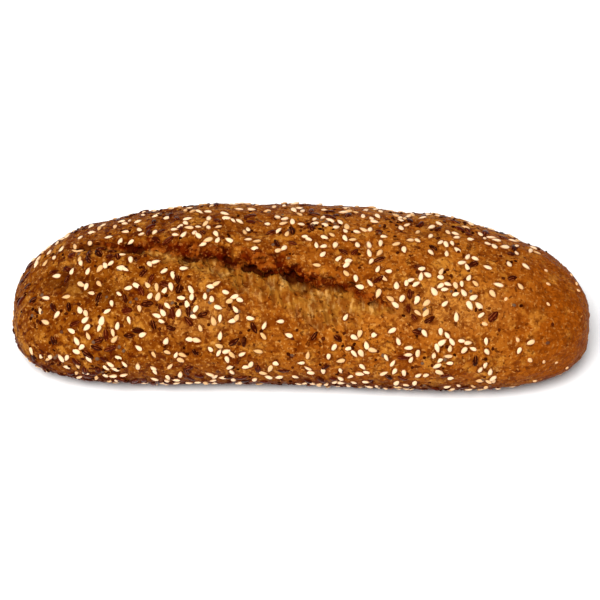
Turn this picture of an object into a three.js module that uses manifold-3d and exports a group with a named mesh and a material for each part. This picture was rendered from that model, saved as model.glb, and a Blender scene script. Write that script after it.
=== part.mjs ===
// A rye and spelt bread roll: one long baked loaf with a slash torn open across its crown,
// and a topping of linseeds and sesame seeds baked onto the crust.
// Millimetres, +Z up. The roll lies along X on its flat underside, with the origin under its middle.
import * as THREE from "three";
import { mergeVertices } from "three/addons/utils/BufferGeometryUtils.js";
import Module from "manifold-3d";

// Size of the loaf.
const LENGTH = 220;
const WIDTH = 73.5;
const WIDEST_HEIGHT = 18; // the widest line of the sides, above the table
const CROWN_RISE = 30.5; // from the widest line up to the crown
const UNDER_DROP = 22; // from the widest line down, before the table presses the underside flat
const BOW = 4.4; // how far the middle bends back
const SKEW = -3.4; // how far the right end lies nearer the front than the middle does
const MIDDLE_SHIFT = -3; // moves the plan so that its middle is over the origin
const END_DROP = 3; // how far the widest line falls towards the tips
const WIDTH_GROWTH = 0.017; // share by which the right half is wider
const CROWN_FALL = 0.12; // share by which the crown falls from the middle to the right
const UPPER_SQUARENESS = 2.1; // 2 is an ellipse, more is boxier
const LOWER_SQUARENESS = 2.6;

// How each end closes: [how far the full section reaches, how blunt the tip is].
const LEFT_END = { width: [4.2, 2.75], crown: [2.15, 1.9] };
const RIGHT_END = { width: [3.2, 2.5], crown: [4, 4] };

// The slash: a cut from the back of the left end across the crown, torn open by the rising dough.
const SLASH_START = new THREE.Vector2(-90, 10);
const SLASH_END = new THREE.Vector2(36, -24.5);
const SLASH_BOW = -0.5; // how far its middle bends back
const SLASH_DEPTH = 5.8;
const BACK_WALL = 9; // width of the steep torn wall under the back lip
const FRONT_SLOPE = 14; // width of the long torn slope in front
const LIP_RISE = 0.8;
const TEAR_CRAG = { size: 5, height: 0.8 };

// Slow unevenness of the dough, as waves along X and round the section.
const LUMPS = [
  { waveX: 47, waveRound: 61, phase: 0.4, height: 0.45 },
  { waveX: 29, waveRound: 38, phase: 2.1, height: 0.3 },
  { waveX: 19, waveRound: 26, phase: 4.0, height: 0.2 },
];
const LOWEST_LUMP = 5; // the sides are even below this
const LUMP_FADE = 25; // over this rise the lumps reach their full height

// Hollows pressed or shrunk into the crust: place on the plan, half lengths along X and Y, depth.
const HOLLOWS = [
  { x: -92, y: -3, halfX: 8, halfY: 6, depth: 1.6 },
  { x: -82, y: -10, halfX: 8, halfY: 5, depth: 1.5 },
  { x: -71, y: -16, halfX: 8, halfY: 5, depth: 1.3 },
  { x: 41, y: -23, halfX: 8, halfY: 4, depth: 1.0 },
  { x: 54, y: 12, halfX: 12, halfY: 7, depth: 0.9 },
];

// Seeds: length, width, thickness, how far the widest place lies towards one end, and how many.
const LINSEED = { length: 4.8, width: 2.5, thickness: 1.5, blunt: 0.1, count: 52 };
const SESAME = { length: 3.3, width: 2.0, thickness: 1.3, blunt: 0.3, count: 98 };
const SEED_GAP = 1.2; // clear crust left between two seeds
const SEED_LIFT = 0.16; // share of a seed's thickness by which its middle stands above the crust
const LOWEST_SEED = 8; // no seed lies lower on the sides than this
const SEEDED_BACK = -0.12 * Math.PI; // seeds lie between these angles round the section
const SEEDED_FRONT = 1.12 * Math.PI;
const BARE_END = 84; // the right tip beyond this has no seeds
const THINNING = 40; // the seeds thin out over this length before the bare tip
const RANDOM_SEED = 20417;

// Facets of the loaf and of one seed.
const AROUND = 36;
const ALONG = 62;
const TOP_CROWDING = 0.55; // crowds the facets towards the crown, where the slash is
const END_CROWDING = 0.45;
const SEED_SIDES = 6;
const SEED_RINGS = 3;
const TRIES = 20000; // places tried for each kind of seed

const clamp01 = (v) => Math.min(1, Math.max(0, v));
const smooth = (v) => clamp01(v) ** 2 * (3 - 2 * clamp01(v));
const signedPower = (v, exponent) => Math.sign(v) * Math.abs(v) ** exponent;
const fullness = (t, [reach, blunt]) => clamp01(1 - Math.abs(t) ** reach) ** (1 / blunt);

// A number from 0 to 1 that looks random but is always the same for the same place.
function scramble(x, y, z) {
  const mixed = Math.sin(x * 127.1 + y * 311.7 + z * 74.7) * 43758.5453;
  return mixed - Math.floor(mixed);
}

// The same sequence of numbers from 0 to 1 on every run.
function randomFrom(seed) {
  let drawn = 0;
  return () => scramble(seed, drawn++, 0.5);
}

// Smooth noise from -1 to 1 that repeats nothing nearby.
function noise(x, y, z) {
  const cell = [x, y, z].map(Math.floor);
  const blend = [x, y, z].map((v, axis) => smooth(v - cell[axis]));
  let sum = 0;
  for (let corner = 0; corner < 8; corner++) {
    const step = [corner & 1, (corner >> 1) & 1, (corner >> 2) & 1];
    const weight = step.reduce((w, s, axis) => w * (s ? blend[axis] : 1 - blend[axis]), 1);
    sum += weight * scramble(cell[0] + step[0], cell[1] + step[1], cell[2] + step[2]);
  }
  return sum * 2 - 1;
}

// Half the loaf's width, and its middle line, at t from -1 to 1 along the length.
function halfWidthAt(t) {
  const end = t < 0 ? LEFT_END : RIGHT_END;
  return (WIDTH / 2) * fullness(t, end.width) * (1 + WIDTH_GROWTH * t);
}

function middleAt(t) {
  return BOW * (1 - 2 * t * t) + SKEW * t + MIDDLE_SHIFT;
}

// The smooth loaf at t along the length and an angle round the section, from the back over the crown.
function plainForm(t, angle) {
  const end = t < 0 ? LEFT_END : RIGHT_END;
  const rise = CROWN_RISE * fullness(t, end.crown) * (1 - CROWN_FALL * t);
  const drop = UNDER_DROP * fullness(t, end.width);
  const upper = Math.sin(angle) >= 0;
  const power = 2 / (upper ? UPPER_SQUARENESS : LOWER_SQUARENESS);
  const centreZ = WIDEST_HEIGHT - END_DROP * t ** 4;
  const y = middleAt(t) + halfWidthAt(t) * signedPower(Math.cos(angle), power);
  const z = centreZ + (upper ? rise : drop) * signedPower(Math.sin(angle), power);
  return new THREE.Vector3((LENGTH / 2) * t, y, Math.max(z, 0));
}

// How far back the slash's floor lies at x, and how far along the slash that is, from 0 to 1.
function slashAt(x) {
  const along = clamp01((x - SLASH_START.x) / (SLASH_END.x - SLASH_START.x));
  const y = THREE.MathUtils.lerp(SLASH_START.y, SLASH_END.y, along) + SLASH_BOW * Math.sin(Math.PI * along);
  return { along, y };
}

// The slash at a point of the plan: how far it is torn, how far it falls, and how far its lips rise.
function opening(x, y) {
  const slash = slashAt(x);
  if (slash.along <= 0 || slash.along >= 1) return { torn: 0, fall: 0, lip: 0 };
  const across = y - slash.y;
  const behind = across > 0;
  const width = behind
    ? BACK_WALL * Math.sin(Math.PI * slash.along ** 1.2) ** 0.6
    : FRONT_SLOPE * Math.sin(Math.PI * slash.along ** 2.2);
  const reach = Math.abs(across) / width;
  const deep = Math.sin(Math.PI * slash.along ** 1.4);
  const fall = deep * clamp01(1 - reach) ** 1.2;
  const lip = deep * Math.exp(-(((reach - 1.3) / 0.45) ** 2)) * (behind ? 1 : 0.35);
  return { torn: smooth((1.1 - reach) * 5), fall, lip };
}

// How far the real surface stands out from the smooth loaf, or falls in below it.
function relief(point) {
  const { x, y, z } = point;
  const { torn, fall, lip } = opening(x, y);
  const onTop = smooth((z - WIDEST_HEIGHT) / 8);
  let out = LIP_RISE * lip - SLASH_DEPTH * fall;
  const crag = noise(x / TEAR_CRAG.size, y / TEAR_CRAG.size, z / TEAR_CRAG.size);
  out += torn * TEAR_CRAG.height * crag;
  for (const { x: cx, y: cy, halfX, halfY, depth } of HOLLOWS) {
    out -= depth * Math.exp(-(((x - cx) / halfX) ** 2) - ((y - cy) / halfY) ** 2);
  }
  let lumps = 0;
  for (const { waveX, waveRound, phase, height } of LUMPS) {
    const turn = 2 * Math.PI;
    lumps += height * Math.sin((turn * x) / waveX + phase) * Math.cos((turn * (y + z)) / waveRound + phase);
  }
  return out * onTop + lumps * smooth((z - LOWEST_LUMP) / LUMP_FADE);
}

// The way out of the loaf at a point, away from a spine inside it.
function outward(point) {
  const spine = (LENGTH - WIDTH) / 2;
  const centre = new THREE.Vector3(THREE.MathUtils.clamp(point.x, -spine, spine), 0, WIDEST_HEIGHT);
  return point.clone().sub(centre).normalize();
}

function surface(t, angle) {
  const point = plainForm(t, angle);
  return point.addScaledVector(outward(point), relief(point));
}

// The angle round the section at which the slash's floor lies, fading to the crown at the tips.
function slashAngle(t) {
  const offset = slashAt((LENGTH / 2) * t).y - middleAt(t);
  const share = THREE.MathUtils.clamp(offset / (halfWidthAt(t) + 1), -0.8, 0.8) * (1 - t ** 6);
  return Math.acos(signedPower(share, UPPER_SQUARENESS / 2));
}

// A sphere's facets, with its poles at the tips, moved onto the loaf with a row of edges on the slash.
function loafGeometry() {
  const geometry = new THREE.SphereGeometry(1, AROUND, ALONG);
  const places = geometry.getAttribute("position");
  const shares = geometry.getAttribute("uv");
  const crown = Math.PI / 2;
  for (let i = 0; i < places.count; i++) {
    const even = 2 * shares.getY(i) - 1;
    const t = THREE.MathUtils.lerp(even, Math.sin(crown * even), END_CROWDING);
    const turn = 2 * Math.PI * shares.getX(i) - crown;
    const nearCrown = (1 + Math.sin(turn)) / 2;
    const angle = turn + TOP_CROWDING * Math.cos(turn) + (slashAngle(t) - crown) * nearCrown;
    const point = surface(t, angle);
    places.setXYZ(i, point.x, point.y, point.z);
  }
  return geometry;
}

// A seed lying along X: pointed at one end, blunt at the other, its flat side down.
function seedGeometry({ length, width, thickness, blunt }) {
  const geometry = new THREE.SphereGeometry(1, SEED_SIDES, SEED_RINGS);
  geometry.rotateZ(Math.PI / 2);
  const places = geometry.getAttribute("position");
  for (let i = 0; i < places.count; i++) {
    const along = places.getX(i);
    const swell = 1 + blunt * along;
    const x = (length / 2) * along;
    const y = (width / 2) * places.getY(i) * swell;
    const z = (thickness / 2) * places.getZ(i) * swell;
    places.setXYZ(i, x, y, z);
  }
  return geometry;
}

// How likely a seed is to have stuck at a point: never in the torn slash, near the table or on the bare tip.
function seedChance(point) {
  const tooLow = point.z < LOWEST_SEED;
  const torn = opening(point.x, point.y).torn > 0.02;
  return tooLow || torn ? 0 : smooth((BARE_END - point.x) / THINNING);
}

// Places for all seeds, the largest kind first, each clear of the ones before it.
function scatterSeeds(random) {
  const laid = [];
  for (const kind of [LINSEED, SESAME]) {
    const wanted = laid.length + kind.count;
    for (let tries = 0; laid.length < wanted && tries < TRIES; tries++) {
      const angle = THREE.MathUtils.lerp(SEEDED_BACK, SEEDED_FRONT, random());
      const point = surface(2 * random() - 1, angle);
      const heading = random() * Math.PI;
      const stuck = random() < seedChance(point);
      const clear = laid.every((other) => {
        return other.point.distanceTo(point) > (other.kind.length + kind.length) / 2 + SEED_GAP;
      });
      if (stuck && clear) laid.push({ kind, point, heading });
    }
  }
  return laid;
}

// Turns and moves a seed onto the facet of the loaf under it, flat on it and facing its heading.
function seedMatrix(loaf, { kind, point, heading }) {
  const away = outward(point);
  const ray = new THREE.Raycaster(point.clone().add(away), away.clone().negate());
  const seat = ray.intersectObject(loaf)[0];
  const up = seat.face.normal.clone();
  const forward = new THREE.Vector3(1, 0, 0).projectOnPlane(up).normalize().applyAxisAngle(up, heading);
  const side = up.clone().cross(forward).normalize();
  const place = seat.point.clone().addScaledVector(up, SEED_LIFT * kind.thickness);
  return new THREE.Matrix4().makeBasis(forward, side, up).setPosition(place);
}

const wasm = await Module();
wasm.setup();

function solidFrom(geometry) {
  geometry.deleteAttribute("normal");
  geometry.deleteAttribute("uv");
  const merged = mergeVertices(geometry);
  const kept = [];
  const index = merged.index.array;
  for (let i = 0; i < index.length; i += 3) {
    const [a, b, c] = [index[i], index[i + 1], index[i + 2]];
    if (a !== b && b !== c && c !== a) kept.push(a, b, c);
  }
  const mesh = new wasm.Mesh({
    numProp: 3,
    vertProperties: new Float32Array(merged.getAttribute("position").array),
    triVerts: new Uint32Array(kept),
  });
  return new wasm.Manifold(mesh);
}

function geometryFrom(solid) {
  const mesh = solid.getMesh();
  const geometry = new THREE.BufferGeometry();
  geometry.setAttribute("position", new THREE.BufferAttribute(mesh.vertProperties, 3));
  geometry.setIndex(new THREE.BufferAttribute(mesh.triVerts, 1));
  geometry.computeVertexNormals();
  return geometry;
}

// The loaf with every seed baked into its crust, as one solid.
function breadRoll() {
  const loaf = new THREE.Mesh(loafGeometry());
  let roll = solidFrom(loaf.geometry.clone());
  for (const seed of scatterSeeds(randomFrom(RANDOM_SEED))) {
    roll = roll.add(solidFrom(seedGeometry(seed.kind).applyMatrix4(seedMatrix(loaf, seed))));
  }
  const crust = new THREE.MeshStandardMaterial({ color: 0xa5621f, roughness: 0.6, metalness: 0 });
  const mesh = new THREE.Mesh(geometryFrom(roll), crust);
  mesh.name = "bread_roll";
  return mesh;
}

const object = new THREE.Group();
object.add(breadRoll());

export default object;
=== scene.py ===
# %% [markdown]
# # A seeded rye and spelt bread roll
# A long roll has one baked crust, torn open along a slash, and a topping of sesame seeds, linseeds and
# poppy seeds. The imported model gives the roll's place and size. This lesson dresses it: a fine crust, the
# seeds on it, their finishes, soft studio light and a camera. Sizes are in millimetres until the last
# step of each piece.

# %% Load the frame
from math import cos, pi, radians, sin

import bmesh
import bpy
import numpy as np
from mathutils import Matrix, Vector, noise
from mathutils.kdtree import KDTree


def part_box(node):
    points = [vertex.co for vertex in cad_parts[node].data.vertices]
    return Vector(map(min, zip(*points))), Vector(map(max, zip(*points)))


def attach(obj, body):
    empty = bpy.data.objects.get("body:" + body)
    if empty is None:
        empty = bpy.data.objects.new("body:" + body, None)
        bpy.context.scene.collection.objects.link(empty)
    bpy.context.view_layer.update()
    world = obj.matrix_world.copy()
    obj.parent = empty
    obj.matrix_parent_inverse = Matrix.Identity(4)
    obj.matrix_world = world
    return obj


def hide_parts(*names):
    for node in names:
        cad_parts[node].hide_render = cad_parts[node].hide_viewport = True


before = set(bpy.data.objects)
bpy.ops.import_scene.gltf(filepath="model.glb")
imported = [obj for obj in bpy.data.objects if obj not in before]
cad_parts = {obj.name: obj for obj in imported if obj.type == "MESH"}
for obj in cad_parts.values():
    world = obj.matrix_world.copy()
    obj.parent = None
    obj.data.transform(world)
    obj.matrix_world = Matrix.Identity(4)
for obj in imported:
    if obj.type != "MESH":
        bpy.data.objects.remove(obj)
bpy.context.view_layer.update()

MM = 0.001
cad_low, cad_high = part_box("bread_roll")
print("CAD roll in mm:", [round(v / MM, 1) for v in cad_high - cad_low])

# %% [markdown]
# ## The camera
# The roll was photographed from its front, looking steeply down, with a long lens. A lens of about 140 mm
# at 0.9 m keeps the ends of the roll from growing or shrinking, as it does in the photograph.

# %% Place the camera
CAMERA_RISE = radians(52)
CAMERA_AWAY = 900
FRAME_WIDTH = 229.4  # the width that the picture takes in at the roll
SENSOR_WIDTH = 36
NEAREST_SEEN = 0.01  # metres
AIM = Vector((0, -3.7, 21.5))

lens = bpy.data.cameras.new("camera")
lens.sensor_width = SENSOR_WIDTH
lens.lens = SENSOR_WIDTH * CAMERA_AWAY / FRAME_WIDTH
lens.clip_start = NEAREST_SEEN
camera = bpy.data.objects.new("camera", lens)
bpy.context.scene.collection.objects.link(camera)
towards_camera = Vector((0, -cos(CAMERA_RISE), sin(CAMERA_RISE)))
camera.location = (AIM + CAMERA_AWAY * towards_camera) * MM
camera.rotation_euler = (pi / 2 - CAMERA_RISE, 0, 0)
bpy.context.scene.camera = camera
print("lens in mm:", round(lens.lens, 1))

# %% [markdown]
# ## Helpers for finishes
# Colours are picked as sRGB hex values, the way a paint program shows them, and the shader wants them
# linear. One helper adds any shader node with its settings and links. A finish is then built up like
# paint: a first colour, and tints laid over it one after the other, each of them where an amount says so.
# An amount is a number from 0 to 1 that changes over the surface: the piece's mesh keeps it at its
# points, or noise gives it.

# %% Helpers for finishes
WARM_SHINE = "#ffb070"  # oil and glaze warm the light that they mirror
FACTOR, FIRST, SECOND, MIXED = 0, 6, 7, 2  # sockets of a Mix node that mixes colours
AS_IT_IS = None  # in place of a fade


def linear(hex_colour):
    srgb = np.array([int(hex_colour[i:i + 2], 16) for i in (1, 3, 5)]) / 255
    return (*np.where(srgb <= 0.04045, srgb / 12.92, ((srgb + 0.055) / 1.055) ** 2.4), 1)


def add(material, kind, inputs=None, **settings):
    """Adds a node. An input is a value, or a socket of another node to link from."""
    made = material.node_tree.nodes.new(kind)
    for name, value in settings.items():
        setattr(made, name, value)
    for name, value in (inputs or {}).items():
        if isinstance(value, bpy.types.NodeSocket):
            material.node_tree.links.new(value, made.inputs[name])
        else:
            made.inputs[name].default_value = value
    return made


def new_finish(name, roughness, shine, kept=()):
    """A material, its surface shader, and the amounts that the piece's mesh keeps for it."""
    material = bpy.data.materials.new(name)
    material.use_nodes = True
    shader = material.node_tree.nodes["Principled BSDF"]
    shader.inputs["Roughness"].default_value = roughness
    shader.inputs["Specular IOR Level"].default_value = shine
    shader.inputs["Specular Tint"].default_value = linear(WARM_SHINE)
    amounts = {}
    for amount in kept:
        amounts[amount] = add(material, "ShaderNodeAttribute", attribute_name=amount).outputs["Fac"]
    return material, shader, amounts


def mottle(material, amounts, place, lumps):
    """Adds amounts that change in lumps. Each has a size in mm, a detail, and a fade of (start, full)."""
    for name, (size, detail, fade) in lumps.items():
        inputs = {"Vector": place, "Scale": 1 / (size * MM), "Detail": detail}
        amounts[name] = add(material, "ShaderNodeTexNoise", inputs).outputs["Fac"]
        if fade:
            inputs = {"Value": amounts[name], "From Min": fade[0], "From Max": fade[1]}
            faded = add(material, "ShaderNodeMapRange", inputs, interpolation_type="SMOOTHSTEP")
            amounts[name] = faded.outputs["Result"]


def tinted(material, amounts, colour, tints):
    """Lays tints over a colour. Each has an amount, a fade of (start, full, strength), and a colour."""
    for name, fade, tint in tints:
        strength = amounts[name]
        if fade:
            inputs = {"Value": strength, "From Min": fade[0], "From Max": fade[1], "To Max": fade[2]}
            faded = add(material, "ShaderNodeMapRange", inputs, interpolation_type="SMOOTHSTEP")
            strength = faded.outputs["Result"]
        inputs = {FACTOR: strength, FIRST: colour, SECOND: linear(tint) if isinstance(tint, str) else tint}
        colour = add(material, "ShaderNodeMix", inputs, data_type="RGBA").outputs[MIXED]
    return colour


# %% [markdown]
# ## The smooth loaf
# Dough that proves on a tray becomes a long rounded form: flat below, full at the sides, and domed above.
# Its two ends differ, and its middle bends back a little. A law with a few sizes gives a point for each
# place along the loaf and each angle round it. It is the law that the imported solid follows, so the two
# agree.

# %% The loaf's law
LENGTH = (cad_high.x - cad_low.x) / MM
WIDTH = 73.5
WIDEST_HEIGHT = 18  # the widest line of the sides, above the table
CROWN_RISE = 30.5
UNDER_DROP = 22
BOW = 4.4
SKEW = -3.4
MIDDLE_SHIFT = -3
END_DROP = 3
WIDTH_GROWTH = 0.017
CROWN_FALL = 0.12
UPPER_SQUARENESS = 2.1
LOWER_SQUARENESS = 2.6
# For each end: how far the full section reaches, and how blunt the tip is.
LEFT_END = {"width": (4.2, 2.75), "crown": (2.15, 1.9)}
RIGHT_END = {"width": (3.2, 2.5), "crown": (4, 4)}


def smooth(values):
    held = np.clip(values, 0, 1)
    return held * held * (3 - 2 * held)


def fade_in(values, start, full):
    """0 up to start and 1 from full on, with a smooth change between them."""
    return smooth((values - start) / (full - start))


def fullness(t, part):
    ends = [end[part] for end in (LEFT_END, RIGHT_END)]
    left, right = ((1 - np.abs(t) ** reach).clip(0) ** (1 / bluntness) for reach, bluntness in ends)
    return np.where(t < 0, left, right)


def signed_power(values, exponent):
    return np.sign(values) * np.abs(values) ** exponent


def half_width(t):
    return WIDTH / 2 * fullness(t, "width") * (1 + WIDTH_GROWTH * t)


def middle(t):
    return BOW * (1 - 2 * t * t) + SKEW * t + MIDDLE_SHIFT


def loaf_points(t, angle):
    """Places on the smooth loaf, for t from -1 to 1 along it and an angle from the back over the crown."""
    upper = np.sin(angle) >= 0
    power = np.where(upper, 2 / UPPER_SQUARENESS, 2 / LOWER_SQUARENESS)
    crown = CROWN_RISE * fullness(t, "crown") * (1 - CROWN_FALL * t)
    under = UNDER_DROP * fullness(t, "width")
    x = LENGTH / 2 * t
    y = middle(t) + half_width(t) * signed_power(np.cos(angle), power)
    z = WIDEST_HEIGHT - END_DROP * t ** 4 + np.where(upper, crown, under) * signed_power(np.sin(angle), power)
    return np.column_stack([x, y, z.clip(0)])


# %% [markdown]
# ## The slash
# The baker cuts the dough with one stroke, and the oven tears it open. The far lip lifts and stands over
# a steep torn wall. On the near side the tear is a long slope, because that side was pulled out from
# under the lip. At its left end the tear stayed closed, and only a thin crack shows.

# %% The slash's law
SLASH_START = (-90, 10)
SLASH_END = (36, -24.5)
SLASH_BOW = -0.5
SLASH_DEPTH = 5.8
BACK_WALL = 9  # width of the torn wall under the far lip
BACK_BLUNTNESS = 0.6
FRONT_SLOPE = 14  # width of the drawn-out slope on the near side
# How far to the right the wall, the slope and the depth are greatest: 1 stands for the middle.
WALL_SWELL, SLOPE_SWELL, DEPTH_SWELL = 1.2, 2.2, 1.4
FALL_CURVE = 1.2
LIP_RISE = 0.8
LIP_CREST, LIP_SPREAD = 1.3, 0.45  # in widths of the wall
NEAR_LIP = 0.35  # the near lip's rise, as a share of the far one's
CRACK_DEPTH = 1.6
CRACK_HALF_WIDTH = 1.3
CRACK_FADES = (0, 1 / 15, 0.2, 0.3)  # along the slash: in over the first two places, out over the others
FAR_OFF = 9


def slash_at(x):
    """How far along the slash x is, from 0 to 1, and how far back its floor lies there."""
    along = ((x - SLASH_START[0]) / (SLASH_END[0] - SLASH_START[0])).clip(0, 1)
    return along, SLASH_START[1] + (SLASH_END[1] - SLASH_START[1]) * along + SLASH_BOW * np.sin(pi * along)


def opening(points):
    """What the slash does at each place.

    reach is the distance from its floor, in widths of the wall or the slope. fall, lip and crack say how far
    the place falls or rises. deep is how deep the slash is beside it, and across the way to the floor in mm.
    """
    along, floor = slash_at(points[:, 0])
    across = points[:, 1] - floor
    behind = across > 0
    open_there = (along > 0) & (along < 1)
    back = BACK_WALL * np.sin(pi * along ** WALL_SWELL).clip(0) ** BACK_BLUNTNESS
    front = FRONT_SLOPE * np.sin(pi * along ** SLOPE_SWELL).clip(0)
    reach = np.abs(across) / np.where(behind, back, front).clip(0.01)
    reach = np.where(open_there, reach, FAR_OFF)
    deep = np.sin(pi * along ** DEPTH_SWELL).clip(0)
    fall = deep * (1 - reach).clip(0) ** FALL_CURVE
    lip = deep * np.exp(-(((reach - LIP_CREST) / LIP_SPREAD) ** 2)) * np.where(behind, 1, NEAR_LIP)
    crack = CRACK_DEPTH * np.exp(-((across / CRACK_HALF_WIDTH) ** 2))
    crack *= fade_in(along, *CRACK_FADES[:2]) * (1 - fade_in(along, *CRACK_FADES[2:]))
    return {
        "reach": reach,
        "fall": fall,
        "lip": lip,
        "crack": crack,
        "deep": deep,
        "across": across,
        "behind": behind,
    }


# %% [markdown]
# ## The crust's mesh
# A flat grid is wrapped into a sphere whose poles are the loaf's tips, and sealed along its seam. Then
# each of its points moves to its place by the law. The grid's lines crowd towards the crown and follow
# the slash, so the small shapes get the most faces.

# %% Wrap a grid into the loaf
AROUND = 232
ALONG = 410
TOP_CROWDING = 0.42
END_CROWDING = 0.35
WIDEST_OFFSET = 0.8  # the floor line keeps this share of the half width from the loaf's middle, at most
SEAM = 0.00001  # points nearer than this, on a sphere of radius 1, are one point


def slash_angle(t):
    """The angle round the loaf at which the slash's floor lies, fading to the crown at the tips."""
    offset = slash_at(LENGTH / 2 * t)[1] - middle(t)
    share = (offset / (half_width(t) + 1)).clip(-WIDEST_OFFSET, WIDEST_OFFSET) * (1 - t ** 6)
    return np.arccos(signed_power(share, UPPER_SQUARENESS / 2))


def read_points(mesh, attribute="co"):
    flat = np.empty(len(mesh.vertices) * 3, np.float32)
    mesh.vertices.foreach_get(attribute, flat)
    return flat.reshape(-1, 3).astype(float)


def write_points(mesh, points):
    mesh.vertices.foreach_set("co", points.astype(np.float32).ravel())
    mesh.update()


def keep(mesh, name, values):
    """Keeps one amount for each point of the mesh, for its finish to read."""
    mesh.attributes.new(name, "FLOAT", "POINT").data.foreach_set("value", values.astype(np.float32))


def piece_from(bm, name):
    """A piece of the object, in metres, from a bmesh in millimetres."""
    bmesh.ops.scale(bm, vec=(MM, MM, MM), verts=bm.verts)
    for face in bm.faces:
        face.smooth = True
    mesh = bpy.data.meshes.new(name)
    bm.to_mesh(mesh)
    bm.free()
    piece = bpy.data.objects.new(name, mesh)
    bpy.context.scene.collection.objects.link(piece)
    print(name, "has", len(mesh.vertices), "vertices and", len(mesh.polygons), "faces")
    return piece


bm = bmesh.new()
bmesh.ops.create_grid(bm, x_segments=ALONG, y_segments=AROUND, size=1)
for vert in bm.verts:
    lengthwise, round_it = pi / 2 * vert.co.x, pi * vert.co.y
    vert.co = Vector((sin(lengthwise), cos(lengthwise) * cos(round_it), cos(lengthwise) * sin(round_it)))
bmesh.ops.remove_doubles(bm, verts=bm.verts, dist=SEAM)
bmesh.ops.recalc_face_normals(bm, faces=bm.faces)
crust = piece_from(bm, "crust")
sphere = read_points(crust.data) / MM
even = 1 - 2 * np.arccos(sphere[:, 0].clip(-1, 1)) / pi
t = even * (1 - END_CROWDING) + END_CROWDING * np.sin(pi / 2 * even)
turn = np.arctan2(sphere[:, 2], sphere[:, 1])
angle = turn + TOP_CROWDING * np.cos(turn) + (slash_angle(t) - pi / 2) * (1 + np.sin(turn)) / 2
points = loaf_points(t, angle)

# %% [markdown]
# ## Relief
# A crust is never smooth. It has slow lumps from the shaping, hollows where the dough sank, and fine
# wrinkles from drying. The torn dough is rougher: its slope is drawn out into strands across the slash,
# and small caves run in under the lip. Noise of the right size gives each of these, and named hollows
# give those that stand out.

# %% Noise and hollows
LUMPS = [  # (wave along, wave round, phase, height)
    (47, 61, 0.4, 0.45),
    (29, 38, 2.1, 0.3),
    (19, 26, 4.0, 0.2),
]
LUMP_FADE = (5, 30)  # heights over which they fade in
HOLLOWS = [  # (x, y, half length along x, half length along y, depth)
    (-92, -3, 8, 6, 1.6),
    (-82, -10, 8, 5, 1.5),
    (-71, -16, 8, 5, 1.3),
    (41, -23, 8, 4, 1.0),
    (54, 12, 12, 7, 0.9),
]
DEEPEST_HOLLOW = 1.6
CAVES = [  # (x, half width, depth, how far it runs back)
    (-62, 5, 1.7, 3.2),
    (-52, 2, 1.6, 1.5),
    (-43, 4, 1.8, 1.5),
    (-36, 2.5, 2.4, 2.0),
    (-27, 1.6, 2.2, 5.0),
    (-18, 3.6, 3.0, 2.6),
    (-3, 4.5, 3.0, 2.8),
    (6, 3.5, 1.0, 1.3),
    (15, 3.0, 1.1, 1.3),
    (27, 4.5, 1.4, 1.2),
]
CAVE_EDGE = 0.6


def field(places, size, octaves, stretch=(1, 1, 1), shift=0):
    """Noise of about -1 to 1, in lumps of about the given size, times the stretch along each axis."""
    scaled = places / (size * np.array(stretch)) + shift
    return np.array([noise.fractal(place, 1.0, 2.0, octaves) for place in scaled.tolist()])


def mound(places, x, y, half_x, half_y):
    return np.exp(-(((places[:, 0] - x) / half_x) ** 2) - ((places[:, 1] - y) / half_y) ** 2)


# %% [markdown]
# The slash opens first, along the way out of the loaf. Its floor also moves back, under the lip, and the
# lip leans forward over it. An offset that wanders along the slash keeps its floor from being a ruled
# line.

# %% Open the slash
WANDER = 1.4
UNDERCUT = 1.6
UNDERCUT_CURVE = 1.5
CAVE_UNDERCUT = 0.5
LIP_LEAN = 0.3
TOP_FADE = 8  # above the widest line
spine = (LENGTH - WIDTH) / 2
centres = np.full(points.shape, float(WIDEST_HEIGHT))
centres[:, 0] = points[:, 0].clip(-spine, spine)
centres[:, 1] = 0
out = points - centres
out /= np.linalg.norm(out, axis=1, keepdims=True)
only_x = points * np.array((1, 0, 0))
wandered = points.copy()
wandered[:, 1] += WANDER * field(only_x, 12, 2) + WANDER * field(points, 5, 4, shift=7)
cut = opening(wandered)
cut["fall"] *= (0.8 + 0.6 * field(points, 7, 3, shift=90)).clip(0, 1.3)
on_top = fade_in(points[:, 2], WIDEST_HEIGHT, WIDEST_HEIGHT + TOP_FADE)
cave = np.zeros(len(points))
for x, half, depth, back in CAVES:
    run_back = (cut["across"] - back / 2) / (back / 2 + CAVE_EDGE)
    cave += depth * np.exp(-(((points[:, 0] - x) / half) ** 2) - run_back ** 2)
cave *= smooth(cut["deep"] * 6) * (0.75 + 0.6 * field(points, 2.5, 3, shift=60)).clip(0)
cave += cut["crack"]
lumps = np.zeros(len(points))
for wave_along, wave_round, phase, height in LUMPS:
    lengthwise_wave = height * np.sin(2 * pi * points[:, 0] / wave_along + phase)
    lumps += lengthwise_wave * np.cos(2 * pi * (points[:, 1] + points[:, 2]) / wave_round + phase)
# how deep the hollows sink; the same amount later gives their painted shade
sunk_shade = sum(depth * mound(points, x, y, half_x, half_y) for x, y, half_x, half_y, depth in HOLLOWS)
rise = (LIP_RISE * cut["lip"] - SLASH_DEPTH * cut["fall"] - cave - sunk_shade) * on_top
rise += lumps * fade_in(points[:, 2], *LUMP_FADE)
opened = points + out * rise[:, None]
moved_back = UNDERCUT * cut["fall"] ** UNDERCUT_CURVE + CAVE_UNDERCUT * cave
moved_back -= LIP_LEAN * cut["lip"] * cut["behind"]
opened[:, 1] += on_top * moved_back
write_points(crust.data, opened * MM)
normals = read_points(crust.data, "normal")
print("deepest and highest place of the slow relief in mm:", rise.min().round(1), rise.max().round(1))

# %% [markdown]
# Then the fine relief follows the surface's own normals: wrinkles and small blisters on the crust,
# strands and crumbs in the tear. The bare right end is smoother, with folds that run along the loaf.

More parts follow.
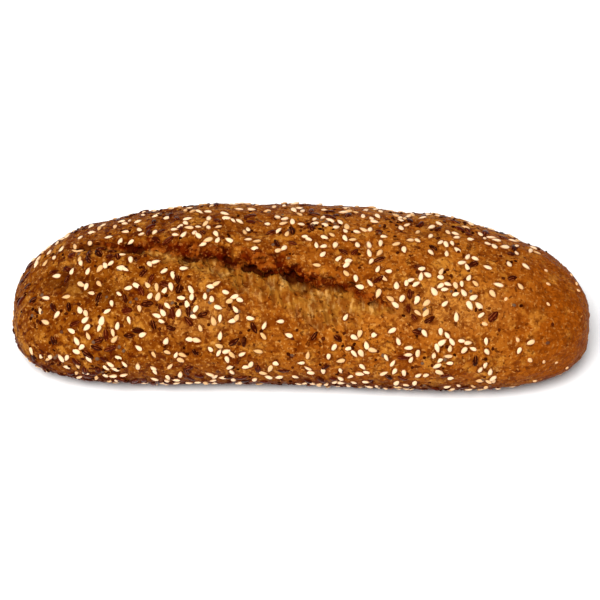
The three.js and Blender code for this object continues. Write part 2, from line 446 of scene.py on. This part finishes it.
# %% Fine relief
WRINKLE = 0.4
CREASE = 0.5
CREASE_WIDTH = 0.06
FOLD = 0.4
BLISTER = 0.45
STRAND = 0.9
CRUMB = 2.0
PIT = 1.3
TEAR_EDGE = 1.05  # in widths of the wall or the slope
RAGGEDNESS = 0.45
EDGE_SHARPNESS = 2.6
SLANT = 0.25  # the strands run this far sideways for each mm across
CLEAR_OF_TABLE = 3
SMOOTH_END = (60, 85)  # places along x over which the crust gets smoother
RELIEF = {  # (size of the lumps, octaves, stretch along each axis, shift)
    "ragged": (6, 4, (1, 1, 1), 21),
    "wrinkles": (3.0, 4, (1.3, 1, 1), 0),
    "folding": (6, 4, (1.2, 1, 1), 170),
    "creased": (9, 2, (1, 1, 1), 200),
    "blistered": (8, 2, (1, 1, 1), 31),
    "small_blisters": (2.4, 2, (1, 1, 1), 3),
    "crumbs": (3.6, 5, (1, 1, 1), 50),
    "pitted": (3.4, 5, (1.4, 1, 1), 70),
    "lengthwise_folds": (4, 3, (5, 1, 1), 230),
}
relief = {name: field(opened, *numbers) for name, numbers in RELIEF.items()}
drawn = np.column_stack([opened[:, 0] + SLANT * opened[:, 1], cut["across"], opened[:, 2]])
strands = field(drawn, 1.7, 3, stretch=(1, 5, 5), shift=12)


def torn_within(edge):
    """1 in the tear and 0 outside it, with a ragged edge at the given distance."""
    return smooth((edge + RAGGEDNESS * relief["ragged"] - cut["reach"]) * EDGE_SHARPNESS) * on_top


torn = torn_within(TEAR_EDGE)
creases = np.exp(-((relief["folding"] / CREASE_WIDTH) ** 2)) * smooth(relief["creased"] * 2 + 0.5)
blisters = smooth((relief["blistered"] - 0.1) * 3) * (0.4 + 0.6 * relief["small_blisters"])
pits = smooth((relief["pitted"] - 0.08) * 2.5) * torn * np.where(cut["behind"], 1, 0.35)
smooth_end = fade_in(opened[:, 0], *SMOOTH_END)
skin = WRINKLE * relief["wrinkles"] + BLISTER * blisters - CREASE * creases
skin *= 1 - 0.5 * smooth_end
skin += FOLD * smooth_end * relief["lengthwise_folds"]
crumbs = CRUMB * relief["crumbs"]
tear = np.where(cut["behind"], crumbs, STRAND * strands + 0.4 * crumbs)
height = (1 - torn) * skin * fade_in(opened[:, 2], 0, CLEAR_OF_TABLE) + torn * tear - PIT * pits
shaped = opened + normals * height[:, None]
shaped[:, 2] = shaped[:, 2].clip(0)
write_points(crust.data, shaped * MM)
print("crust box in mm:", shaped.min(0).round(1), shaped.max(0).round(1))

# %% [markdown]
# ## Where seeds lie
# The wet dough was rolled in seeds, so they cover all that the hands and the tray left open, in clumps
# and gaps. None lie in the tear, which opened later, nor on the bare right end. Each candidate place is a
# face of the crust. A seeded draw picks faces by their area and by how likely a seed is to have stuck
# there.

# %% Candidate places
RANDOM_SEED = 20417
draw = np.random.default_rng(RANDOM_SEED)
mesh = crust.data
face_count = len(mesh.polygons)
face_middle = np.empty(face_count * 3, np.float32)
mesh.polygons.foreach_get("center", face_middle)
face_middle = face_middle.reshape(-1, 3).astype(float) / MM
face_area = np.empty(face_count, np.float32)
mesh.polygons.foreach_get("area", face_area)
corner = np.empty(face_count, np.int32)
mesh.polygons.foreach_get("loop_start", corner)
loop_vertex = np.empty(len(mesh.loops), np.int32)
mesh.loops.foreach_get("vertex_index", loop_vertex)
face_vertex = loop_vertex[corner]
face_out = normals[face_vertex]
face_torn = torn[face_vertex]


def rise_in_view(places):
    """How high places lie in the photograph's view, in mm on the roll, above the point that it aims at."""
    return (places - np.array(AIM)) @ np.array((0, sin(CAMERA_RISE), cos(CAMERA_RISE)))


face_rise = rise_in_view(face_middle)
face_seen = face_out @ np.array(towards_camera) > 0


def patch(x, rise, half_x, half_rise):
    """1 in the middle of a patch on the side that the photograph shows, and 0 away from it."""
    away = ((face_middle[:, 0] - x) / half_x) ** 2 + ((face_rise - rise) / half_rise) ** 2
    return np.exp(-away * 1.5) * face_seen


def in_groups(groups):
    """How much likelier each face is for the groups that it lies in."""
    return 1 + sum(strength * patch(*place_and_size) for *place_and_size, strength in groups)


print("candidate places:", face_count)

# %% [markdown]
# Patches make the seeds lie thicker and thinner where they do on the real roll, and leave single places
# to chance.

# %% How likely seeds are
CLUMP = 9
WHOLE_SKIN = 0.2  # seeds lie only where the crust is torn less than this
SEEDED_FROM, SEEDED_FULLY = 3, 6  # heights above the table
BARE_END = 90
BARE_FADE = 24
REACH_BEHIND = 1.0  # for each mm towards the back, the seeds reach this much farther into the bare end
RIM_HEIGHT = 8
RIM_SPREAD = 4
FULLER_RIM = 0.9
FULLER = [  # (x, rise, half width, half rise, strength), where seeds lie thickest
    (-48, 1, 17, 8, 1.6),
    (-82, 18, 16, 2.5, 3),
    (56, -19, 9, 9, 1.6),
    (10, 26, 18, 7, 0.8),
    (-33, -4, 9, 6, 0.8),
    (57, 5, 7, 5, 1.6),
    (75, 3, 5, 5, 1.0),
    (-80, -26, 20, 6, 0.8),
    (-40, -29, 14, 5, 1.8),
    (5, -11, 7, 3, 3.0),
    (-78, -22, 14, 9, 1.0),
    (-52, -7, 22, 6, 1.2),
    (86, 24, 12, 4, 1.5),
    (-56, 30, 12, 6, 1.2),
    (-33, 24, 14, 8, 1.0),
    (12, -30, 10, 6, 1.0),
    (22, 6, 22, 5, 0.5),
    (62, 24, 14, 6, 1.0),
]
BARER = [
    (-92, 6, 20, 7, 0.9),
    (-74, 9, 13, 5, 0.75),
    (-101, -14, 10, 16, 0.75),
    (-10, -16, 11, 14, 0.75),
    (-9, -31, 7, 6, 0.6),
    (33, -8, 14, 12, 0.6),
    (33, 15, 11, 6, 0.6),
    (82, -10, 15, 11, 0.97),
    (72, 14, 10, 5, 0.5),
]
face_x, face_y, face_z = face_middle.T
off_table = fade_in(face_z, SEEDED_FROM, SEEDED_FULLY)
likely = np.exp(field(face_middle, CLUMP, 2, shift=80)) * (face_torn < WHOLE_SKIN) * off_table
likely *= fade_in(BARE_END + REACH_BEHIND * face_y.clip(0) - face_x, 0, BARE_FADE)
likely *= 1 + FULLER_RIM * np.exp(-(((face_z - RIM_HEIGHT) / RIM_SPREAD) ** 2))
for x, rise, half_x, half_rise, strength in FULLER:
    likely *= 1 + strength * patch(x, rise, half_x, half_rise)
for x, rise, half_x, half_rise, strength in BARER:
    likely *= 1 - strength * patch(x, rise, half_x, half_rise)
print("places where a seed can stick:", int((likely > 0).sum()))


def scatter(kind_likely, count, gap, laid):
    """Faces for one kind of seed, each at least gap from the places already laid."""
    odds = kind_likely * face_area
    faces = draw.choice(face_count, size=count * 6, replace=False, p=odds / odds.sum())
    places = list(laid)
    chosen = []
    for face in faces:
        if len(chosen) == count:
            break
        middle_of_face = face_middle[face]
        if places and np.min(np.sum((np.array(places) - middle_of_face) ** 2, axis=1)) < gap ** 2:
            continue
        places.append(middle_of_face)
        chosen.append(face)
    return chosen, places


# %% [markdown]
# ## A seed
# A seed starts as a small sphere with its poles at its ends. It is drawn out to its length, pressed flat,
# and pinched towards one end. A bmesh takes in hundreds of copies of it, and one array then moves all
# their points, which is far quicker than turning each copy by itself. Each gets its own size, turn, tilt
# and tone, and sinks a little into the crust.

# %% Lay seeds on the crust
SIZE_SPREAD = (0.07, 0.09, 0.12)  # of a seed's length, width and thickness, as shares
WHOLE_SIZE_SPREAD = 0.06


def seed_turn(face, sink, tilt):
    """The turn and place of a seed on a face: flat on the crust but for a small tilt, heading anywhere."""
    up = Vector(face_out[face]) + Vector(draw.normal(0, tilt, 3))
    up.normalize()
    forward = up.orthogonal().normalized()
    side = up.cross(forward)
    flat_on_crust = Matrix((forward, side, up)).transposed().to_4x4()
    heading = Matrix.Rotation(draw.uniform(0, 2 * pi), 4, "Z")
    return Matrix.Translation(Vector(face_middle[face]) - up * sink) @ (flat_on_crust @ heading)


def seed_mesh(length, width, thickness, pinch, sides, rings):
    """One seed along X, in millimetres. pinch draws in its near and its far end."""
    bm = bmesh.new()
    lay_down = Matrix.Rotation(pi / 2, 4, "Y")
    bmesh.ops.create_uvsphere(bm, u_segments=sides, v_segments=rings, radius=1, matrix=lay_down)
    for vert in bm.verts:
        x = min(max(vert.co.x, -1), 1)
        narrow = (1 + x) ** pinch[0] * (1 - x) ** pinch[1]
        vert.co = Vector((x * length, vert.co.y * narrow * width, vert.co.z * narrow * thickness)) / 2
    mesh = bpy.data.meshes.new("one_seed")
    bm.to_mesh(mesh)
    bm.free()
    return mesh


def lay_seeds(name, faces, seed, sink, tilt):
    """One piece with a copy of the seed on each face. sink is a share of half the seed's thickness."""
    shape = read_points(seed)
    bm = bmesh.new()
    points, tones = [], []
    for face in faces:
        bm.from_mesh(seed)
        own_size = draw.normal(1, SIZE_SPREAD) * draw.normal(1, WHOLE_SIZE_SPREAD)
        turned = np.array(seed_turn(face, sink * shape[:, 2].max(), tilt))
        laid = (shape * own_size) @ turned[:3, :3].T + turned[:3, 3]
        laid[:, 2] = laid[:, 2].clip(0)  # the tray stops what reaches it
        points.append(laid)
        tones += [draw.uniform()] * len(shape)
    piece = piece_from(bm, name)
    mesh = piece.data
    write_points(mesh, np.concatenate(points) * MM)
    keep(mesh, "tone", np.array(tones))
    for axis, amount in enumerate(("lengthwise", "across", "raised")):
        keep(mesh, amount, np.tile(shape[:, axis] / shape[:, axis].max(), len(faces)))
    print(name, "are", len(faces), "in number")
    return piece


# %% [markdown]
# ## Sesame seeds
# Hulled sesame seeds are flat teardrops about 3.5 mm long. The hull is off, so the eye sees a matte cream
# kernel with a faint glow of oil. The tip is tan, painted shade browns the rim and underside, and a few
# seeds are toasted darker.
# They are the lightest thing on the roll, and their clumps give it its pattern. Linseeds are larger and
# need more room, so their places are drawn before those of the sesame seeds.

# %% Sesame seeds
LINSEED_GROUPS = [(-45, 34, 20, 4, 2), (15, 31, 55, 5, 1.5)]
LINSEED_COUNT, LINSEED_GAP = 290, 3.0
SESAME_COUNT, SESAME_GAP = 750, 2.2
DARK_SEED_RIM = 3.2
DARK_RIM_SPREAD = 5
darker_left = 1 + fade_in(face_x, -20, -80)
rim_fuller = 1 + DARK_SEED_RIM * np.exp(-(((face_z - RIM_HEIGHT) / DARK_RIM_SPREAD) ** 2))
linseed_likely = likely * darker_left * rim_fuller * in_groups(LINSEED_GROUPS)
linseed_faces, large_laid = scatter(linseed_likely, LINSEED_COUNT, LINSEED_GAP, [])
sesame_faces, large_laid = scatter(likely, SESAME_COUNT, SESAME_GAP, large_laid)
sesame_seed = seed_mesh(length=3.6, width=1.85, thickness=1.1, pinch=(0.42, 0.04), sides=8, rings=6)
sesame = lay_seeds("sesame_seeds", sesame_faces, sesame_seed, sink=0.05, tilt=0.14)
sesame_kept = ("tone", "raised", "lengthwise")
hulled, shader, amounts = new_finish("hulled_sesame_seed", roughness=0.5, shine=0.2, kept=sesame_kept)
cream = tinted(hulled, amounts, linear("#f0cba2"), [
    ("tone", (0.65, 1.0, 1), "#d8a76e"),  # toasted darker
    # painted shade: darker towards the rim and underside of the seed
    ("raised", (0.7, 0.05, 0.65), "#a87038"),  # the rim
    ("lengthwise", (-0.45, -1.0, 0.7), "#a86a2a"),  # the tip
])
hulled.node_tree.links.new(cream, shader.inputs["Base Color"])
sesame.data.materials.append(hulled)

# %% [markdown]
# ## Linseeds
# Brown linseeds are pointed ovals nearly 5 mm long with a hard skin. Soaked by the dough and dried by the
# oven, they lose most of their gloss and shrink into lengthwise ridges. The eye sees a deep brown seed
# with lighter stripes: painted highlights along its ridges, which a wave across the seed gives, broken up
# by noise.

# %% Linseeds
RIDGES = 9.0  # the wave's turn from the middle line to the edge, in radians
linseed = seed_mesh(length=4.7, width=2.3, thickness=1.1, pinch=(0.22, 0.08), sides=8, rings=6)
linseeds = lay_seeds("linseeds", linseed_faces, linseed, sink=0.1, tilt=0.1)
hull, shader, amounts = new_finish("brown_linseed_hull", roughness=0.3, shine=0.05, kept=("tone", "across"))
wave = add(hull, "ShaderNodeMath", {0: amounts["across"], 1: RIDGES}, operation="MULTIPLY").outputs[0]
wave = add(hull, "ShaderNodeMath", {0: wave}, operation="COSINE").outputs[0]
hull_place = add(hull, "ShaderNodeTexCoord").outputs["Object"]
# noise that breaks up the painted highlights
mottle(hull, amounts, hull_place, {"broken_highlight": (1.5, 3, (0.4, 0.6))})
amounts["ridge_highlight"] = add(hull, "ShaderNodeMath", {0: wave, 1: amounts["broken_highlight"]}, operation="MULTIPLY").outputs[0]
dark = tinted(hull, amounts, linear("#260500"), [
    ("tone", AS_IT_IS, "#461003"),
    # painted highlights along the ridges
    ("ridge_highlight", (0.3, 0.9, 0.75), "#8c4720"),
])
hull.node_tree.links.new(dark, shader.inputs["Base Color"])
linseeds.data.materials.append(hull)

# %% [markdown]
# ## Poppy seeds
# Poppy seeds are little over a millimetre across, and are drawn up to 1.6 mm long so that they show.
# Their pitted skin is dull, dark brown to nearly black, and a few are grey. They gather in small groups,
# and some reach farther into the bare end than the larger seeds.

# %% Poppy seeds
POPPY_COUNT, POPPY_GAP = 780, 1.0
POPPY_CLUMP = 8
POPPY_CLUMPING = 3.0
STRAY_SHARE = 0.6
STRAYS_FADE = (100, 84)  # places along x
POPPY_GROUPS = [  # (x, rise, half width, half rise, strength)
    (62, 12, 16, 12, 3),
    (80, 2, 16, 19, 4),
    (-36, 0, 14, 5, 4),
    (0, -14, 30, 8, 2),
    (15, 30, 60, 6, 3),
    (-45, 34, 14, 3, 12),
    (-75, -29, 22, 5, 2),
    (-100, -8, 10, 16, 3),
]
strays = STRAY_SHARE * (face_torn < WHOLE_SKIN) * fade_in(face_x, *STRAYS_FADE)
poppy_likely = (likely + strays) * np.exp(POPPY_CLUMPING * field(face_middle, POPPY_CLUMP, 2, shift=140))
poppy_likely *= rim_fuller * darker_left * in_groups(POPPY_GROUPS)
poppy_faces, laid = scatter(poppy_likely, POPPY_COUNT, POPPY_GAP, large_laid)
poppy_seed = seed_mesh(length=1.6, width=1.4, thickness=1.1, pinch=(0.05, 0.0), sides=7, rings=5)
poppy = lay_seeds("poppy_seeds", poppy_faces, poppy_seed, sink=0.3, tilt=0.2)
slate, shader, amounts = new_finish("dark_poppy_seed", roughness=0.6, shine=0.02, kept=("tone",))
nearly_black = tinted(slate, amounts, linear("#2a0700"), [
    ("tone", (0.0, 0.8, 1), "#4a1a06"),
    ("tone", (0.83, 0.9, 1), "#664a38"),  # the few grey ones
])
slate.node_tree.links.new(nearly_black, shader.inputs["Base Color"])
poppy.data.materials.append(slate)

# %% [markdown]
# ## Bran flakes and broken seeds
# Spelt bran lies in the skin as thin tan flakes of a millimetre or two, dry and matte as paper. They lie
# all over, and thickest on the bare end, which also carries a few broken sesame seeds, toasted and dull.

# %% Bran flakes and broken seeds
BRAN_COUNT, BRAN_GAP = 300, 0.8
BROKEN_COUNT, BROKEN_GAP = 24, 3.0
LEAST_BRAN = 0.5
bran_likely = (face_torn < 0.5) * off_table * (LEAST_BRAN + fade_in(face_x, 30, 80))
bran_faces, _ = scatter(bran_likely, BRAN_COUNT, BRAN_GAP, [])
bran_flake = seed_mesh(length=1.7, width=0.5, thickness=0.3, pinch=(0.0, 0.0), sides=5, rings=4)
bran = lay_seeds("bran_flakes", bran_faces, bran_flake, sink=0.3, tilt=0.1)
flake, shader, amounts = new_finish("tan_bran", roughness=0.7, shine=0.1, kept=("tone",))
tan = tinted(flake, amounts, linear("#b87838"), [("tone", AS_IT_IS, "#8f4e16")])
flake.node_tree.links.new(tan, shader.inputs["Base Color"])
bran.data.materials.append(flake)
broken_likely = bran_likely * fade_in(face_x, 30, 70)
broken_faces, _ = scatter(broken_likely, BROKEN_COUNT, BROKEN_GAP, laid)
broken_seed = seed_mesh(length=2.1, width=1.5, thickness=0.9, pinch=(0.0, 0.2), sides=6, rings=5)
broken = lay_seeds("broken_sesame_seeds", broken_faces, broken_seed, sink=0.1, tilt=0.2)
toasted, shader, _ = new_finish("toasted_broken_sesame", roughness=0.6, shine=0.1)
shader.inputs["Base Color"].default_value = linear("#e2b07c")
broken.data.materials.append(toasted)

# %% [markdown]
# ## What the crust remembers, and its painted shade
# Where the dough was torn it baked paler on the open slope and redder on the steep wall. The end without
# seeds browned to a redder, smoother skin, the left end darkened, and two places on the front stayed paler.
# Painted shade darkens the foot of the loaf, its hollows, the deep parts of the slash and the valleys of its
# wrinkles, and a painted shadow rings each seed. These amounts are kept at the mesh's points, and the finish
# reads them.

# %% Keep the crust's amounts
SEED_EDGE = 1.0  # how far a seed's edge lies from its middle
SEED_SHADOW_REACH = 1.3  # how far from the edge the painted shadow reaches
PALE_SLOPE_EDGE = 0.82  # the lowest part of the slope stayed under the skin and browned with it
PALER = [  # (x, rise, half width, half rise), where the crust browned least
    (-38, -6, 18, 8),
    (54, -3, 24, 9),
]
tree = KDTree(len(large_laid))
for index, place in enumerate(large_laid):
    tree.insert(place, index)
tree.balance()
to_seed = np.array([tree.find(point)[2] for point in shaped.tolist()])
shaped_x, shaped_z = shaped[:, 0], shaped[:, 2]
as_seen = np.column_stack([shaped_x, rise_in_view(shaped)])
crust_amounts = {
    "torn": torn_within(np.where(cut["behind"], TEAR_EDGE, PALE_SLOPE_EDGE)),
    "wall": fade_in(cut["across"], -0.9, 2.1),
    # painted shade in the deep parts of the slash, its caves and its pits
    "painted_shade_in_depths": (0.4 * cut["fall"] ** 2 + 0.35 * cave + 0.6 * pits).clip(0, 1) * on_top,
    # painted shade in the valleys of the fine relief
    "painted_shade_in_valleys": smooth(0.05 - 0.6 * height / WRINKLE),
    # painted shade in the hollows, as deep as they sink
    "sunk_shade": sunk_shade / DEEPEST_HOLLOW * on_top,
    # a painted shadow round each seed
    "painted_seed_shadow": 1 - fade_in(to_seed, SEED_EDGE, SEED_EDGE + SEED_SHADOW_REACH),
    "ruddy": fade_in(shaped_x, 60, 105),
    "browned": fade_in(shaped_x, 30, -70),
    # painted shade: darker towards the foot of the loaf
    "painted_shade_at_foot": (1 - fade_in(shaped_z, 3, 23)) * (1 - 0.25 * smooth_end),
    "paler": sum(mound(as_seen, *place_and_size) for place_and_size in PALER).clip(0, 1),
}
for name, values in crust_amounts.items():
    keep(crust.data, name, values)
    print(name, "is", values.mean().round(3), "on average")

# %% [markdown]
# ## The crust's finish
# Baked crust is starch and sugar browned by the oven: a hard, dry skin with a dull shine. Its colour
# changes in patches of some centimetres where the heat was uneven, and in flecks of a millimetre where
# bran lies under the skin. The pale flecks are partly flour dust and partly painted glints of the shine.
# Noise at these sizes gives the amounts. Some of them are then held to the places where the real crust
# shows them: streaks to the ruddy end, maroon blotches to the browned left end and the painted shade of
# the foot, pale strands to combed patches.

# %% Amounts of the crust's finish
CALMER = 0.6  # what is left of the flecks at the ruddy end
baked, shader, amounts = new_finish("baked_rye_crust", roughness=0.5, shine=0.02, kept=tuple(crust_amounts))
place = add(baked, "ShaderNodeTexCoord").outputs["Object"]
along_loaf = add(baked, "ShaderNodeMapping", {"Vector": place, "Scale": (0.2, 1, 1)})
across_slash = {"Vector": place, "Rotation": (0, 0, 0.25), "Scale": (1, 0.3, 0.3)}
across_slash = add(baked, "ShaderNodeMapping", across_slash)
mottle(baked, amounts, place, {
    "patches": (22, 3, (0.38, 0.62)),
    "golden": (7, 5, (0.5, 0.64)),
    "blotches": (3.6, 5, (0.5, 0.61)),
    "grains": (1.4, 4, (0.48, 0.61)),
    "specks": (2.2, 2, (0.62, 0.68)),
    "pale_dust_and_glints": (1.2, 3, (0.56, 0.66)),
    "maroon": (3.0, 5, (0.56, 0.62)),
    "combed": (6, 3, (0.44, 0.58)),
    "scorched": (5, 5, (0.42, 0.6)),
    "charred": (2.6, 6, AS_IT_IS),
    "roughness": (1.1, 4, AS_IT_IS),
})
mottle(baked, amounts, along_loaf.outputs["Vector"], {"streaks": (0.9, 4, (0.5, 0.6))})
mottle(baked, amounts, across_slash.outputs["Vector"], {
    "strands": (1.5, 6, AS_IT_IS),
    "pale_strands": (1.5, 6, (0.54, 0.38)),
})
inputs = {"Value": amounts["ruddy"], "To Min": 1, "To Max": CALMER}
calmer = add(baked, "ShaderNodeMapRange", inputs, interpolation_type="SMOOTHSTEP")
amounts["calmer_end"] = calmer.outputs["Result"]
# the browned left end, or the painted shade at the foot, whichever is more
browned_or_shaded_node = add(baked, "ShaderNodeMath", {0: amounts["browned"], 1: amounts["painted_shade_at_foot"]}, operation="MAXIMUM")
amounts["browned_or_shaded"] = browned_or_shaded_node.outputs[0]
for name, only_where in (
    ("golden", "calmer_end"),
    ("blotches", "calmer_end"),
    ("grains", "calmer_end"),
    ("specks", "calmer_end"),
    ("pale_dust_and_glints", "calmer_end"),
    ("streaks", "ruddy"),
    # maroon blotches where the left end browned, and where the foot has painted shade
    ("maroon", "browned_or_shaded"),
    ("pale_strands", "combed"),
):
    inputs = {0: amounts[name], 1: amounts[only_where]}
    amounts[name] = add(baked, "ShaderNodeMath", inputs, operation="MULTIPLY").outputs[0]
print("amounts of the crust's finish:", len(amounts))

# %% [markdown]
# The skin is tinted first. The torn dough has two colours of its own: the slope, drawn out into pale
# strands, and the steep wall under the lip, which the heat reached and scorched. Painted shade darkens the
# deep parts of the slash, the hollows, the valleys of the wrinkles and the foot, and a painted shadow rings
# each seed.

# %% Finish: baked rye crust
skin_colour = tinted(baked, amounts, linear("#a05a16"), [
    ("patches", AS_IT_IS, "#8d480c"),
    ("browned", AS_IT_IS, "#804309"),
    ("ruddy", (0, 1, 0.85), "#904506"),
    ("golden", (0, 1, 0.6), "#ba7828"),
    ("paler", (0, 1, 0.35), "#bd8038"),
    ("blotches", (0, 1, 0.7), "#622500"),
    ("painted_shade_in_valleys", (0, 1, 0.6), "#521900"),
    # painted shade in the valleys of the wrinkles
    ("grains", (0, 1, 0.5), "#5c1e00"),
    # pale flecks: partly flour dust, partly painted glints
    ("pale_dust_and_glints", (0, 1, 0.4), "#d6984c"),
    ("specks", (0, 1, 0.75), "#3a0a00"),
    ("streaks", (0, 1, 0.45), "#662a02"),
    # maroon blotches on the browned left end and in the painted shade at the foot
    ("maroon", (0, 1, 0.75), "#460e00"),
    # painted shade in the hollows
    ("sunk_shade", (0.2, 0.9, 0.45), "#481c00"),
    # painted shade towards the foot of the loaf
    ("painted_shade_at_foot", (0, 1, 0.9), "#481700"),
])
slope_colour = tinted(baked, amounts, linear("#985e1b"), [
    ("golden", AS_IT_IS, "#ad752d"),
    ("pale_strands", (0, 1, 0.85), "#c8924c"),
    ("strands", (0.5, 0.66, 0.8), "#7a3d08"),
    ("blotches", (0, 1, 0.6), "#722f02"),
    ("specks", (0, 1, 0.7), "#3a1000"),
])
wall_colour = tinted(baked, amounts, linear("#8b420c"), [
    ("scorched", AS_IT_IS, "#621d00"),
    ("golden", (0, 1, 0.4), "#a45a17"),
    ("charred", (0.46, 0.54, 0.9), "#400600"),
    # pale flecks: partly flour dust, partly painted glints
    ("pale_dust_and_glints", (0, 1, 0.4), "#b87232"),
])
tear_colour = tinted(baked, amounts, slope_colour, [
    ("wall", AS_IT_IS, wall_colour),
    # painted shade in the valleys of the torn dough
    ("painted_shade_in_valleys", (0, 1, 0.4), "#4a1600"),
])
colour = tinted(baked, amounts, skin_colour, [
    ("torn", AS_IT_IS, tear_colour),
    # painted shade in the deep parts of the slash, its caves and its pits
    ("painted_shade_in_depths", (0.3, 0.7, 0.9), "#300500"),
    # painted shadow round each seed
    ("painted_seed_shadow", (0, 1, 0.65), "#4a1300"),
])
baked.node_tree.links.new(colour, shader.inputs["Base Color"])
bumps = add(baked, "ShaderNodeBump", {"Strength": 1.0, "Distance": 0.6 * MM, "Height": amounts["roughness"]})
baked.node_tree.links.new(bumps.outputs["Normal"], shader.inputs["Normal"])
crust.data.materials.append(baked)
print(baked.name, "has", len(baked.node_tree.nodes), "shader nodes")

# %% [markdown]
# ## Studio
# The photograph has soft light and a white ground. A large light near the camera, a little to its left,
# lights the front and the crown. A weaker one farther to the left fills, and the white world softens
# every shadow. The floor is matte white paper. The lights' places and sizes are in
# metres.

# %% Floor, lights and world
FLOOR_HALF_SIZE = 3000  # millimetres
WORLD_STRENGTH = 0.42
bm = bmesh.new()
bmesh.ops.create_grid(bm, x_segments=1, y_segments=1, size=FLOOR_HALF_SIZE)
floor = piece_from(bm, "floor")
paper, shader, _ = new_finish("white_paper", roughness=0.9, shine=0)
shader.inputs["Base Color"].default_value = linear("#fcfcfc")
floor.data.materials.append(paper)


def softbox(name, place, size, watts):
    light = bpy.data.lights.new(name, "AREA")
    light.shape = "DISK"
    light.size = size
    light.energy = watts
    lamp = bpy.data.objects.new(name, light)
    bpy.context.scene.collection.objects.link(lamp)
    lamp.location = place
    lamp.rotation_euler = (-Vector(place)).to_track_quat("-Z", "Y").to_euler()


softbox("key_softbox", place=(-0.15, -0.42, 0.95), size=0.6, watts=13.6)
softbox("fill_softbox", place=(-0.7, -0.4, 0.7), size=0.8, watts=1.0)
world = bpy.data.worlds.new("studio")
world.use_nodes = True
world.node_tree.nodes["Background"].inputs["Color"].default_value = (1, 1, 1, 1)
world.node_tree.nodes["Background"].inputs["Strength"].default_value = WORLD_STRENGTH
bpy.context.scene.world = world
bpy.context.scene.view_settings.view_transform = "Standard"

# %% [markdown]
# ## Join the frame
# Every piece rides on the roll's one body. The crust stands for the imported solid, which is then hidden.

# %% Ride and replace
for piece in (crust, sesame, linseeds, poppy, bran, broken):
    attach(piece, "root")
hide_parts("bread_roll")
